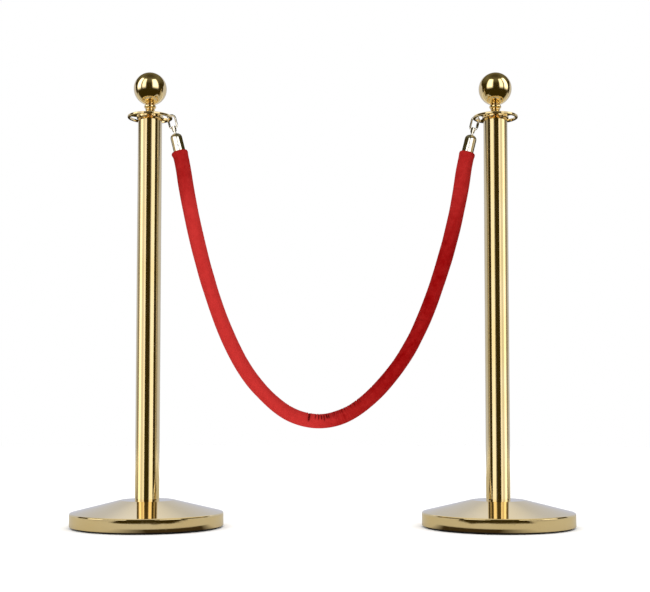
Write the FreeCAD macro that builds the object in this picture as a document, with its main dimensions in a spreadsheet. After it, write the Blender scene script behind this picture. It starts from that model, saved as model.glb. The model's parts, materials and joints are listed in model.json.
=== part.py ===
import FreeCAD, Part
import math
import os
import Sketcher
from FreeCAD import Placement, Rotation, Vector

# Rope barrier set: two ball-top posts on weighted bases, joined by one velvet rope.
# Millimetres, +Z up. The origin is on the floor, midway between the two posts, which
# stand along X. The rope hangs between their ring plates.

os.makedirs("parts", exist_ok=True)
doc = FreeCAD.newDocument("rope_barrier")

# ---------------------------------------------------------------------------
# Driving dimensions
# ---------------------------------------------------------------------------
SIZES = [
    ("overshoot", 1.0),            # how far a cutting shape passes the faces it cuts
    # the set
    ("post_offset", 368.5),        # each post's axis from the middle
    # base
    ("base_radius", 160.0),
    ("cover_foot", 4.2),           # cover's lower edge above the floor
    ("cover_rim_top", 31.0),       # top of the upright rim band
    ("cover_top", 57.0),           # flat middle that the tube stands on
    ("cover_flat_radius", 56.0),
    ("cover_wall", 1.2),
    ("rim_round", 3.0),
    ("crown_round", 12.0),
    ("ballast_foot", 6.0),
    ("ballast_radius", 157.0),
    ("ballast_gap", 0.4),          # between the cast weight and the cover's inside
    ("bolt_recess_radius", 24.0),
    ("bolt_recess_top", 20.0),
    ("rubber_outer", 152.0),
    ("rubber_inner", 141.0),
    # base bolt
    ("bolt_radius", 6.0),
    ("bolt_head_radius", 10.4),    # across the corners, M12
    ("bolt_head_height", 7.5),
    ("bolt_reach", 62.0),
    ("bolt_clear", 0.5),
    ("washer_radius", 20.0),
    ("washer_height", 2.5),
    # tube and its plugs
    ("tube_radius", 25.4),         # 2 inch tube
    ("tube_wall", 1.5),
    ("tube_top", 865.0),
    ("plug_height", 32.0),
    ("plug_gap", 0.05),
    ("thread_gap", 0.05),
    # ring plate
    ("ring_washer_radius", 23.0),
    ("ring_washer_height", 0.9),
    ("ring_foot", 866.0),
    ("ring_height", 5.0),
    ("ring_radius", 47.5),
    ("ring_round", 1.4),
    ("slot_outer", 42.0),
    ("slot_inner", 28.0),
    ("slot_half_angle", 38.5),
    ("slot_round", 3.0),
    # finial
    ("neck_foot", 871.1),
    ("neck_flange_radius", 16.5),
    ("neck_flange_height", 2.2),
    ("neck_cone_radius", 14.0),
    ("neck_waist_radius", 8.6),
    ("neck_waist_height", 12.2),
    ("small_bead_size", 1.6),
    ("large_bead_size", 4.2),
    ("bead_gap", 0.5),
    ("seat_outer_height", 896.0),  # the ball's underside at the waist radius
    ("seat_inner_height", 895.45), # and at the stud's bore
    ("ball_radius", 35.0),
    ("ball_wall", 1.4),
    ("ball_height", 930.0),
    ("stud_radius", 6.0),
    ("stud_foot", 836.0),
    ("stud_length", 62.0),
    # snap hook, measured down its hang line from the top of the ring plate's rim
    ("hook_wire_radius", 2.1),
    ("hook_half_width", 7.9),      # centre line to the wire's centre
    ("hook_arc_drop", 3.5),
    ("hook_nose_drop", 9.0),
    ("hook_foot_drop", 17.5),
    ("tongue_drop", 20.5),
    ("tongue_width", 1.6),
    ("tongue_side", -0.65),         # off the middle, to leave the spring its room
    ("boss_radius", 4.5),
    ("boss_drop", 22.2),
    ("boss_height", 6.3),
    ("gate_side", 7.7),            # gate pivot from the hang line
    ("gate_pivot_drop", 17.6),
    ("gate_tip_drop", 9.3),
    ("gate_half_depth", 1.8),
    ("gate_width", 5.4),
    ("gate_slot_width", 3.6),
    ("gate_slot_drop", 14.4),
    ("pin_radius", 0.8),
    ("pin_length", 6.0),
    ("spring_radius", 1.3),
    ("spring_wire_radius", 0.22),
    ("spring_pitch", 0.47),
    ("spring_length", 0.94),
    ("spring_side", 0.45),
    # swivel stud
    ("swivel_radius", 2.1),
    ("swivel_gap", 0.05),
    ("swivel_head_radius", 3.3),
    ("swivel_head_drop", 20.0),
    ("swivel_head_height", 2.0),
    ("swivel_collar_radius", 4.5),
    ("swivel_collar_drop", 28.8),
    ("swivel_collar_height", 2.2),
    ("swivel_neck_radius", 2.7),
    ("swivel_plate_radius", 8.0),
    ("swivel_plate_drop", 42.4),
    ("swivel_plate_height", 2.0),
    # ferrule
    ("ferrule_radius", 12.5),
    ("ferrule_wall", 0.9),
    ("ferrule_drop", 37.3),
    ("ferrule_mouth_drop", 75.5),
    ("ferrule_dome_round", 9.5),
    ("screw_drop", 65.0),
    ("screw_radius", 1.5),
    ("screw_head_radius", 2.7),
    ("screw_head_height", 1.2),
    ("screw_reach", 6.0),          # depth below the ferrule's skin
    # rope
    ("rope_radius", 16.0),
    ("core_radius", 11.3),
    ("core_gap", 0.1),
    ("core_in_ferrule", 28.0),
]

sheet = doc.addObject("Spreadsheet::Sheet", "Sizes")
for row, (alias, value) in enumerate(SIZES, start=1):
    sheet.set(f"A{row}", alias)
    sheet.set(f"B{row}", str(value))
    sheet.setAlias(f"B{row}", alias)
doc.recompute()
size = {alias: float(sheet.get(alias)) for alias, _ in SIZES}

RIM_CENTRE = (size["ring_radius"] + size["slot_outer"]) / 2
RING_TOP = size["ring_foot"] + size["ring_height"]
HANG_TILT = 14.0                   # degrees that the rope's ends lean from the vertical

# Each post's side of the middle, where its hook sits on the ring, how far the hook is turned
# on its swivel towards square with the ring, and where the ring's first slot points (degrees).
SIDES = {
    "left": {"sign": -1, "hook_azimuth": 10.0, "hook_turn": -8.8, "slot_azimuth": -12.0},
    "right": {"sign": 1, "hook_azimuth": 151.0, "hook_turn": 28.0, "slot_azimuth": 172.0},
}

# The rope's centre line, in its own vertical plane: (distance along X, height).
# Its two ends are at the ferrules' mouths, and its first and last runs lie on their axes.
ROPE_ROUTE = [
    (-306.1, 797.7),
    (-298.9, 768.6),
    (-290.8, 713.0),
    (-271.2, 618.0),
    (-244.2, 515.0),
    (-208.5, 412.0),
    (-164.0, 324.0),
    (-111.0, 264.0),
    (-63.0, 229.0),
    (-6.0, 216.5),
    (46.0, 228.5),
    (88.0, 254.5),
    (132.0, 296.0),
    (180.5, 361.0),
    (219.5, 444.0),
    (252.5, 537.0),
    (278.5, 628.0),
    (296.5, 715.0),
    (303.9, 768.6),
    (311.2, 797.7),
]
ARC_SHARE = 0.45                   # of the shorter run, given to each bend's arc


# ---------------------------------------------------------------------------
# Helpers
# ---------------------------------------------------------------------------
nodes = {}


def bind(obj, **expressions):
    """Bind an object's sizes to formulas in the sheet's aliases."""
    for prop, formula in expressions.items():
        obj.setExpression(prop, in_sheet(formula))


def in_sheet(formula):
    """Put the sheet's name before each alias of a formula."""
    words = formula.replace("(", " ( ").replace(")", " ) ").split()
    return " ".join("Sizes." + word if word in size else word for word in words)


def solid(kind, name, lift=None, **expressions):
    """A Part primitive bound to the sheet, raised along Z by the formula lift."""
    obj = doc.addObject("Part::" + kind, name)
    bind(obj, **expressions)
    if lift:
        obj.setExpression("Placement.Base.z", in_sheet(lift))
    return obj


def cut(name, base, tool):
    obj = doc.addObject("Part::Cut", name)
    obj.Base = base
    obj.Tool = tool
    return obj


def fuse(name, *shapes):
    obj = doc.addObject("Part::MultiFuse", name)
    obj.Shapes = list(shapes)
    return obj


def keep(label, obj, placement=None):
    """Register a finished sub-part under its node name."""
    obj.Label = label
    if placement:
        obj.Placement = placement
    nodes[label] = obj
    return obj


def feature(label, shape, placement=None):
    """A sub-part whose shape is set directly."""
    obj = doc.addObject("Part::Feature", label)
    obj.Shape = shape
    return keep(label, obj, placement)


def body_plane(body, role):
    return next(item for item in body.Origin.OriginFeatures if item.Role == role)


def new_sketch(body, name, role):
    sketch = body.newObject("Sketcher::SketchObject", name)
    sketch.AttachmentSupport = (body_plane(body, role), [""])
    sketch.MapMode = "FlatFace"
    return sketch


def turned_body(name, corners, beads=()):
    """A body revolved about Z from a closed outline of (radius, height) formulas.

    The side after each corner listed in beads is a half circle that bulges outwards.
    """
    body = doc.addObject("PartDesign::Body", name)
    sketch = new_sketch(body, name + "_outline", "XZ_Plane")
    values = [[evaluate(radius), evaluate(height)] for radius, height in corners]
    count = len(corners)
    for i, (radius, height) in enumerate(values):
        start = Vector(radius, height, 0)
        end = Vector(*values[(i + 1) % count], 0)
        if i in beads:
            bulge = Vector(radius + (end.y - start.y) / 2, (start.y + end.y) / 2, 0)
            sketch.addGeometry(Part.Arc(start, bulge, end))
        else:
            sketch.addGeometry(Part.LineSegment(start, end))
    for i in range(count):
        sketch.addConstraint(Sketcher.Constraint("Coincident", i, 2, (i + 1) % count, 1))
    for i, formulas in enumerate(corners):
        for kind, formula, value in zip(("DistanceX", "DistanceY"), formulas, values[i]):
            place = sketch.addConstraint(Sketcher.Constraint(kind, -1, 1, i, 1, value))
            sketch.setExpression(f"Constraints[{place}]", in_sheet(formula))
    for i in beads:
        centre = sketch.addConstraint(Sketcher.Constraint("DistanceX", -1, 1, i, 3, values[i][0]))
        sketch.setExpression(f"Constraints[{centre}]", in_sheet(corners[i][0]))
    doc.recompute()
    turned = body.newObject("PartDesign::Revolution", name + "_turned")
    turned.Profile = sketch
    turned.ReferenceAxis = (sketch, ["V_Axis"])
    turned.Angle = 360
    doc.recompute()
    return body


def evaluate(formula):
    """The number that a formula of aliases gives."""
    total = 0.0
    sign = 1
    for word in formula.split():
        if word in "+-":
            sign = 1 if word == "+" else -1
        else:
            total += sign * (size[word] if word in size else float(word))
            sign = 1
    return total


def circle_edges(shape, radius, height):
    """Names of the circular edges of one radius at one height."""
    names = []
    for number, edge in enumerate(shape.Edges, start=1):
        if isinstance(edge.Curve, Part.Circle):
            same_radius = abs(edge.Curve.Radius - radius) < 0.01
            if same_radius and abs(edge.Curve.Center.z - height) < 0.01:
                names.append(f"Edge{number}")
    return names


def round_edges(body, name, edges, radius_alias):
    """Fillet named edges of a body's last feature."""
    last = body.Tip
    fillet = body.newObject("PartDesign::Fillet", name)
    fillet.Base = (last, edges)
    bind(fillet, Radius=radius_alias)
    doc.recompute()
    return fillet


# ---------------------------------------------------------------------------
# Base
# ---------------------------------------------------------------------------
def base_cover(side, at):
    """Spun cover: flat crown, shallow cone and upright rim band."""
    body = turned_body(side + "_base_cover", [
        ("bolt_radius + bolt_clear", "cover_top"),
        ("cover_flat_radius", "cover_top"),
        ("base_radius", "cover_rim_top"),
        ("base_radius", "cover_foot"),
        ("base_radius - cover_wall", "cover_foot"),
        ("base_radius - cover_wall", "cover_rim_top - cover_wall"),
        ("cover_flat_radius", "cover_top - cover_wall"),
        ("bolt_radius + bolt_clear", "cover_top - cover_wall"),
    ])
    rim = circle_edges(body.Shape, size["base_radius"], size["cover_rim_top"])
    round_edges(body, side + "_cover_rim", rim, "rim_round")
    crown = circle_edges(body.Shape, size["cover_flat_radius"], size["cover_top"])
    round_edges(body, side + "_cover_crown", crown, "crown_round")
    keep(side + "_base_cover", body, at)


def base_ballast(side, at):
    """Cast weight that fills the cover, with a recess for the bolt's head below."""
    body = turned_body(side + "_base_ballast", [
        ("bolt_radius + bolt_clear", "bolt_recess_top"),
        ("bolt_recess_radius", "bolt_recess_top"),
        ("bolt_recess_radius", "ballast_foot"),
        ("ballast_radius", "ballast_foot"),
        ("ballast_radius", "cover_rim_top - cover_wall - ballast_gap"),
        ("cover_flat_radius", "cover_top - cover_wall - ballast_gap"),
        ("bolt_radius + bolt_clear", "cover_top - cover_wall - ballast_gap"),
    ])
    keep(side + "_base_ballast", body, at)


def base_fastening(side, at):
    """Rubber ring, large washer and bolt under the base."""
    outer = solid("Cylinder", side + "_rubber_disc", Radius="rubber_outer", Height="ballast_foot")
    inner = solid("Cylinder", side + "_rubber_hole", Radius="rubber_inner", Height="ballast_foot")
    keep(side + "_base_rubber_ring", cut(side + "_base_rubber_ring", outer, inner), at)

    washer_foot = "bolt_recess_top - washer_height"
    disc = solid("Cylinder", side + "_washer_disc", washer_foot,
                 Radius="washer_radius", Height="washer_height")
    hole = solid("Cylinder", side + "_washer_hole", washer_foot,
                 Radius="bolt_radius + bolt_clear", Height="washer_height")
    keep(side + "_base_washer", cut(side + "_base_washer", disc, hole), at)

    head = solid("Prism", side + "_bolt_head", "bolt_recess_top - washer_height - bolt_head_height",
                 Circumradius="bolt_head_radius", Height="bolt_head_height")
    shank = solid("Cylinder", side + "_bolt_shank", washer_foot,
                  Radius="bolt_radius", Height="bolt_reach")
    keep(side + "_base_bolt", fuse(side + "_base_bolt", head, shank), at)


# ---------------------------------------------------------------------------
# Tube
# ---------------------------------------------------------------------------
def post_tube(side, at):
    length = "tube_top - cover_top"
    outer = solid("Cylinder", side + "_tube_outside", "cover_top",
                  Radius="tube_radius", Height=length)
    inner = solid("Cylinder", side + "_tube_bore", "cover_top",
                  Radius="tube_radius - tube_wall", Height=length)
    keep(side + "_post_tube", cut(side + "_post_tube", outer, inner), at)


def tube_plug(side, name, foot, bore_radius, at):
    """A plug pressed and welded in the tube, with a threaded bore through it."""
    block = solid("Cylinder", f"{side}_{name}_block", foot,
                  Radius="tube_radius - tube_wall - plug_gap", Height="plug_height")
    bore = solid("Cylinder", f"{side}_{name}_bore", foot,
                 Radius=bore_radius + " + thread_gap", Height="plug_height")
    keep(f"{side}_{name}", cut(f"{side}_{name}", block, bore), at)


# ---------------------------------------------------------------------------
# Ring plate
# ---------------------------------------------------------------------------
def ring_washer(side, at):
    disc = solid("Cylinder", side + "_ring_washer_disc", "tube_top",
                 Radius="ring_washer_radius", Height="ring_washer_height")
    hole = solid("Cylinder", side + "_ring_washer_hole", "tube_top",
                 Radius="stud_radius + bolt_clear", Height="ring_washer_height")
    keep(side + "_ring_washer", cut(side + "_ring_washer", disc, hole), at)


def slot_outline(sketch):
    """One kidney slot about the X axis, between two arcs and two spoke edges."""
    half = math.radians(size["slot_half_angle"])
    origin = Vector(0, 0, 0)
    up = Vector(0, 0, 1)
    ends = {}
    for place, alias in enumerate(("slot_outer", "slot_inner")):
        circle = Part.Circle(origin, up, size[alias])
        sketch.addGeometry(Part.ArcOfCircle(circle, -half, half))
        sketch.addConstraint(Sketcher.Constraint("Coincident", place, 3, -1, 1))
        radius = sketch.addConstraint(Sketcher.Constraint("Radius", place, size[alias]))
        sketch.setExpression(f"Constraints[{radius}]", in_sheet(alias))
        ends[alias] = [Vector(size[alias] * math.cos(half), way * size[alias] * math.sin(half), 0)
                       for way in (-1, 1)]
    for end in (0, 1):
        line = sketch.addGeometry(Part.LineSegment(ends["slot_outer"][end], ends["slot_inner"][end]))
        sketch.addConstraint(Sketcher.Constraint("Coincident", line, 1, 0, end + 1))
        sketch.addConstraint(Sketcher.Constraint("Coincident", line, 2, 1, end + 1))


def ring_plate(side, at):
    """Round plate with a central bore and four kidney slots for rope hooks."""
    name = side + "_ring_plate"
    body = doc.addObject("PartDesign::Body", name)
    disc_sketch = new_sketch(body, name + "_disc", "XY_Plane")
    for place, radius in enumerate(("ring_radius", "stud_radius + thread_gap")):
        disc_sketch.addGeometry(Part.Circle(Vector(0, 0, 0), Vector(0, 0, 1), evaluate(radius)))
        disc_sketch.addConstraint(Sketcher.Constraint("Coincident", place, 3, -1, 1))
        row = disc_sketch.addConstraint(Sketcher.Constraint("Radius", place, evaluate(radius)))
        disc_sketch.setExpression(f"Constraints[{row}]", in_sheet(radius))
    disc = body.newObject("PartDesign::Pad", name + "_pad")
    disc.Profile = disc_sketch
    bind(disc, Length="ring_height")
    doc.recompute()

    for height in (0.0, size["ring_height"]):
        edges = circle_edges(body.Shape, size["ring_radius"], height)
        round_edges(body, f"{name}_edge_{int(height)}", edges, "ring_round")

    before = body.Shape.Volume
    slot_sketch = new_sketch(body, name + "_slot", "XY_Plane")
    slot_outline(slot_sketch)
    slot = body.newObject("PartDesign::Pocket", name + "_pocket")
    slot.Profile = slot_sketch
    slot.Type = "ThroughAll"
    slot.Reversed = True
    doc.recompute()
    if body.Shape.Volume >= before:
        raise RuntimeError(name + ": the slot cuts nothing")

    pattern = body.newObject("PartDesign::PolarPattern", name + "_slots")
    pattern.Originals = [slot]
    pattern.Axis = (slot_sketch, ["N_Axis"])
    pattern.Angle = 360
    pattern.Occurrences = 4
    body.Tip = pattern
    doc.recompute()

    corners = [f"Edge{number}" for number, edge in enumerate(body.Shape.Edges, start=1)
               if is_slot_corner(edge)]
    round_edges(body, name + "_slot_corners", corners, "slot_round")
    keep(name, body, at)


def is_slot_corner(edge):
    """An upright straight edge where a slot's arc meets a spoke."""
    if not isinstance(edge.Curve, Part.Line):
        return False
    start, end = (vertex.Point for vertex in edge.Vertexes)
    upright = abs(abs(start.z - end.z) - size["ring_height"]) < 0.01
    radius = math.hypot(start.x, start.y)
    return upright and size["slot_inner"] - 0.1 < radius < size["slot_outer"] + 0.1


# ---------------------------------------------------------------------------
# Finial
# ---------------------------------------------------------------------------
def finial_neck(side, at):
    """Turned neck: foot flange, cone, waist and two beads, dished to seat the ball."""
    bore = "stud_radius + thread_gap"
    cone_top = "neck_foot + neck_waist_height"
    small_top = cone_top + " + small_bead_size + small_bead_size"
    large_foot = small_top + " + bead_gap"
    body = turned_body(side + "_finial_neck", [
        (bore, "neck_foot"),
        ("neck_flange_radius", "neck_foot"),
        ("neck_flange_radius", "neck_foot + neck_flange_height"),
        ("neck_cone_radius", "neck_foot + neck_flange_height"),
        ("neck_waist_radius", cone_top),
        ("neck_waist_radius", small_top),
        ("neck_waist_radius", large_foot),
        ("neck_waist_radius", large_foot + " + large_bead_size + large_bead_size"),
        ("neck_waist_radius", "seat_outer_height"),
        (bore, "seat_inner_height"),
    ], beads=(4, 6))
    keep(side + "_finial_neck", body, at)


def finial_ball(side, at):
    outer = solid("Sphere", side + "_ball_outside", "ball_height", Radius="ball_radius")
    inner = solid("Sphere", side + "_ball_inside", "ball_height", Radius="ball_radius - ball_wall")
    shell = cut(side + "_ball_shell", outer, inner)
    hole = solid("Cylinder", side + "_ball_hole", "ball_height - ball_radius",
                 Radius="stud_radius + thread_gap", Height="ball_wall + ball_wall")
    keep(side + "_finial_ball", cut(side + "_finial_ball", shell, hole), at)


def finial_stud(side, at):
    stud = solid("Cylinder", side + "_finial_stud", Radius="stud_radius", Height="stud_length")
    lift = Placement(Vector(0, 0, size["stud_foot"]), Rotation())
    keep(side + "_finial_stud", stud, at.multiply(lift))


def post(side):
    """One complete post, from the rubber ring to the ball."""
    setup = SIDES[side]
    axis = Vector(setup["sign"] * size["post_offset"], 0, 0)
    at = Placement(axis, Rotation())
    base_cover(side, at)
    base_ballast(side, at)
    base_fastening(side, at)
    post_tube(side, at)
    tube_plug(side, "tube_foot_plug", "cover_top", "bolt_radius", at)
    tube_plug(side, "tube_top_plug", "tube_top - plug_height", "stud_radius", at)
    ring_washer(side, at)
    turned_ring = Placement(axis + Vector(0, 0, size["ring_foot"]),
                            Rotation(Vector(0, 0, 1), setup["slot_azimuth"]))
    ring_plate(side, turned_ring)
    finial_neck(side, at)
    finial_ball(side, at)
    finial_stud(side, at)


# ---------------------------------------------------------------------------
# Hang points: where each hook rests on its ring plate's rim
# ---------------------------------------------------------------------------
def rim_point(side):
    setup = SIDES[side]
    azimuth = math.radians(setup["hook_azimuth"])
    return Vector(setup["sign"] * size["post_offset"] + RIM_CENTRE * math.cos(azimuth),
                  RIM_CENTRE * math.sin(azimuth), RING_TOP)


LEFT_RIM = rim_point("left")
RIGHT_RIM = rim_point("right")
ROPE_AZIMUTH = math.degrees(math.atan2(RIGHT_RIM.y - LEFT_RIM.y, RIGHT_RIM.x - LEFT_RIM.x))


def hang_frame(side, with_hook_turn):
    """Frame at the rim: +Z down the hang line, +X away from the post, Y level.

    The hook is turned on its swivel, and what is below the swivel follows the rope's plane.
    """
    outward = ROPE_AZIMUTH if side == "left" else ROPE_AZIMUTH + 180
    turn = Rotation(Vector(0, 0, 1), outward)
    turn = turn.multiply(Rotation(Vector(0, 1, 0), -HANG_TILT))
    turn = turn.multiply(Rotation(Vector(1, 0, 0), 180))
    if with_hook_turn:
        turn = turn.multiply(Rotation(Vector(0, 0, 1), SIDES[side]["hook_turn"]))
    return Placement(rim_point(side), turn)


# ---------------------------------------------------------------------------
# Rope's ends: snap hook, swivel stud and ferrule
# ---------------------------------------------------------------------------
def hook(side, at):
    """Link-shaped hook of round bar, open on the post's side, with a swivel boss."""
    half = size["hook_half_width"]
    top = size["hook_arc_drop"]
    foot = size["hook_foot_drop"]
    tongue = size["tongue_drop"]
    wire_radius = size["hook_wire_radius"]
    stub = -math.sqrt(half ** 2 - (tongue - foot) ** 2)
    nose = Vector(-half, 0, size["hook_nose_drop"])
    line = Part.Wire([
        Part.LineSegment(nose, Vector(-half, 0, top)).toShape(),
        Part.Arc(Vector(-half, 0, top), Vector(0, 0, top - half), Vector(half, 0, top)).toShape(),
        Part.LineSegment(Vector(half, 0, top), Vector(half, 0, foot)).toShape(),
        Part.Arc(Vector(half, 0, foot), Vector(0, 0, foot + half), Vector(stub, 0, tongue)).toShape(),
    ])
    section = Part.Wire([Part.Circle(nose, Vector(0, 0, 1), wire_radius).toShape()])
    bar = line.makePipeShell([section], True, False)

    boss_foot = Vector(0, 0, size["boss_drop"])
    boss = Part.makeCylinder(size["boss_radius"], size["boss_height"], boss_foot)
    pivot = Vector(-size["gate_side"], 0, size["gate_pivot_drop"])
    tongue_foot = pivot + Vector(0, size["tongue_side"] - size["tongue_width"] / 2, 0)
    depth = size["gate_half_depth"]
    ear = Part.makeCylinder(depth, size["tongue_width"], tongue_foot, Vector(0, 1, 0))
    root = Part.makeBox(2 * depth, size["tongue_width"], tongue + wire_radius / 2 - pivot.z,
                        tongue_foot - Vector(depth, 0, 0))
    whole = bar.fuse([boss, ear, root])

    past = size["overshoot"]
    swivel_hole = Part.makeCylinder(size["swivel_radius"] + size["swivel_gap"],
                                    size["boss_height"] + 2 * past, boss_foot - Vector(0, 0, past))
    pin_hole = Part.makeCylinder(size["pin_radius"], 2 * size["pin_length"],
                                 pivot - Vector(0, size["pin_length"], 0), Vector(0, 1, 0))
    feature(side + "_hook", whole.cut([swivel_hole, pin_hole]).removeSplitter(), at)


def hook_gate(side, at):
    """Forked gate that closes the hook's mouth, drawn about its pin."""
    start = side + "_gate"
    depth = "gate_half_depth + gate_half_depth"
    blade = solid("Box", start + "_blade", "gate_tip_drop",
                  Length=depth, Width="gate_width", Height="gate_pivot_drop - gate_tip_drop")
    bind(blade, **{"Placement.Base.x": "0 - gate_side - gate_half_depth",
                   "Placement.Base.y": "0 - gate_width / 2"})
    knuckle = solid("Cylinder", start + "_knuckle", Radius="gate_half_depth", Height="gate_width")
    pin_bore = solid("Cylinder", start + "_bore", Radius="pin_radius + thread_gap",
                     Height="gate_width + overshoot + overshoot")
    slot = solid("Box", start + "_slot", "gate_slot_drop",
                 Length=depth + " + overshoot + overshoot", Width="gate_slot_width",
                 Height="gate_pivot_drop - gate_slot_drop + gate_half_depth + overshoot")
    bind(slot, **{"Placement.Base.x": "0 - gate_side - gate_half_depth - overshoot",
                  "Placement.Base.y": "0 - gate_slot_width / 2"})
    pivot = Vector(-size["gate_side"], 0, size["gate_pivot_drop"])
    along_y = Rotation(Vector(1, 0, 0), -90)
    knuckle.Placement = Placement(pivot - Vector(0, size["gate_width"] / 2, 0), along_y)
    bore_foot = pivot - Vector(0, size["gate_width"] / 2 + size["overshoot"], 0)
    pin_bore.Placement = Placement(bore_foot, along_y)
    whole = fuse(start + "_whole", blade, knuckle)
    forked = cut(start + "_forked", whole, slot)
    keep(side + "_hook_gate", cut(side + "_hook_gate", forked, pin_bore), at)


def gate_pin(side, at):
    pin = solid("Cylinder", side + "_gate_pin", Radius="pin_radius", Height="pin_length")
    foot = Vector(-size["gate_side"], -size["pin_length"] / 2, size["gate_pivot_drop"])
    local = Placement(foot, Rotation(Vector(1, 0, 0), -90))
    keep(side + "_gate_pin", pin, at.multiply(local))


def gate_spring(side, at):
    """Small coil round the gate's pin, beside the hook's tongue."""
    radius = size["spring_radius"]
    coil = Part.makeHelix(size["spring_pitch"], size["spring_length"], radius)
    section = Part.Wire([Part.Circle(Vector(radius, 0, 0), Vector(0, 1, 0),
                                     size["spring_wire_radius"]).toShape()])
    shape = Part.Wire(coil.Edges).makePipeShell([section], True, True)
    pivot = Vector(-size["gate_side"], size["spring_side"], size["gate_pivot_drop"])
    local = Placement(pivot, Rotation(Vector(1, 0, 0), -90))
    feature(side + "_gate_spring", shape, at.multiply(local))


def swivel_stud(side, at):
    """Headed stud: head inside the hook, collar below its boss, plate inside the ferrule."""
    head_foot = "swivel_head_drop + swivel_head_height"
    collar_foot = "swivel_collar_drop + swivel_collar_height"
    plate_foot = "swivel_plate_drop + swivel_plate_height"
    body = turned_body(side + "_swivel_stud", [
        ("0", "swivel_head_drop"),
        ("swivel_head_radius", "swivel_head_drop"),
        ("swivel_head_radius", head_foot),
        ("swivel_radius", head_foot),
        ("swivel_radius", "swivel_collar_drop"),
        ("swivel_collar_radius", "swivel_collar_drop"),
        ("swivel_collar_radius", collar_foot),
        ("swivel_neck_radius", collar_foot),
        ("swivel_neck_radius", "swivel_plate_drop"),
        ("swivel_plate_radius", "swivel_plate_drop"),
        ("swivel_plate_radius", plate_foot),
        ("0", plate_foot),
    ])
    keep(side + "_swivel_stud", body, at)


def screw_direction(side):
    """The ferrule's screw faces the front of the set."""
    return 1 if side == "left" else -1


def screw_hole(side, radius, reach):
    """A radial cylinder from outside the ferrule inwards, in the hang frame."""
    way = screw_direction(side)
    mouth = Vector(0, way * (size["ferrule_radius"] + 2), size["screw_drop"])
    return Part.makeCylinder(radius, reach + 2, mouth, Vector(0, -way, 0))


def ferrule(side, at):
    """Domed end cap, open below, with a hole for its screw."""
    body = turned_body(side + "_ferrule_turned", [
        ("swivel_neck_radius + swivel_gap", "ferrule_drop"),
        ("ferrule_radius", "ferrule_drop"),
        ("ferrule_radius", "ferrule_mouth_drop"),
        ("ferrule_radius - ferrule_wall", "ferrule_mouth_drop"),
        ("ferrule_radius - ferrule_wall", "ferrule_drop + ferrule_wall"),
        ("swivel_neck_radius + swivel_gap", "ferrule_drop + ferrule_wall"),
    ])
    for radius, height in (
            (size["ferrule_radius"], size["ferrule_drop"]),
            (size["ferrule_radius"] - size["ferrule_wall"],
             size["ferrule_drop"] + size["ferrule_wall"])):
        edges = circle_edges(body.Shape, radius, height)
        alias = "ferrule_dome_round"
        if radius < size["ferrule_radius"]:
            alias += " - ferrule_wall"
        round_edges(body, f"{side}_ferrule_dome_{int(10 * radius)}", edges, alias)
    drill = solid("Cylinder", side + "_ferrule_drill", Radius="screw_radius + thread_gap",
                  Height="ferrule_radius")
    way = screw_direction(side)
    drill.Placement = Placement(Vector(0, 0, size["screw_drop"]),
                                Rotation(Vector(1, 0, 0), -90 * way))
    doc.recompute()
    keep(side + "_ferrule", cut(side + "_ferrule", body, drill), at)


def ferrule_screw(side, at):
    """Pan-headed screw through the ferrule into the rope's core."""
    shank = solid("Cylinder", side + "_screw_shank", Radius="screw_radius", Height="screw_reach")
    head = solid("Cylinder", side + "_screw_head", "screw_reach",
                 Radius="screw_head_radius", Height="screw_head_height")
    whole = fuse(side + "_ferrule_screw", shank, head)
    way = screw_direction(side)
    foot = Vector(0, way * (size["ferrule_radius"] - size["screw_reach"]), size["screw_drop"])
    local = Placement(foot, Rotation(Vector(1, 0, 0), -90 * way))
    keep(side + "_ferrule_screw", whole, at.multiply(local))


def rope_end(side):
    """The pieces at one end of the rope."""
    hook_at = hang_frame(side, with_hook_turn=True)
    rope_at = hang_frame(side, with_hook_turn=False)
    hook(side, hook_at)
    hook_gate(side, hook_at)
    gate_pin(side, hook_at)
    gate_spring(side, hook_at)
    swivel_stud(side, rope_at)
    ferrule(side, rope_at)
    ferrule_screw(side, rope_at)


# ---------------------------------------------------------------------------
# Rope
# ---------------------------------------------------------------------------
def rope_point(along, height):
    """A point of the rope's vertical plane, which passes through both rim points."""
    share = (along - LEFT_RIM.x) / (RIGHT_RIM.x - LEFT_RIM.x)
    return Vector(along, LEFT_RIM.y + share * (RIGHT_RIM.y - LEFT_RIM.y), height)


def tangent_path(points):
    """Straight runs joined by tangent arcs, as edges in order."""
    edges = []
    last = points[0]
    for before, corner, after in zip(points, points[1:], points[2:]):
        towards = before - corner
        away = after - corner
        shorter = min(towards.Length, away.Length)
        turn = math.pi - towards.getAngle(away)
        trim = ARC_SHARE * shorter
        radius = trim / math.tan(turn / 2)
        print(f"rope bend: turn {math.degrees(turn):.1f} deg, radius {radius:.0f} mm")
        start = corner + towards.normalize() * trim
        end = corner + away.normalize() * trim
        inward = (towards + away).normalize()
        middle = corner + inward * (radius / math.cos(turn / 2) - radius)
        edges.append(Part.LineSegment(last, start).toShape())
        edges.append(Part.Arc(start, middle, end).toShape())
        last = end
    edges.append(Part.LineSegment(last, points[-1]).toShape())
    return edges


def pipe(edges, radius):
    """A round bar along a path."""
    path = Part.Wire(edges)
    start = edges[0].Vertexes[0].Point
    direction = edges[0].Vertexes[-1].Point - start
    section = Part.Wire([Part.Circle(start, direction, radius).toShape()])
    return path.makePipeShell([section], True, False)


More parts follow.
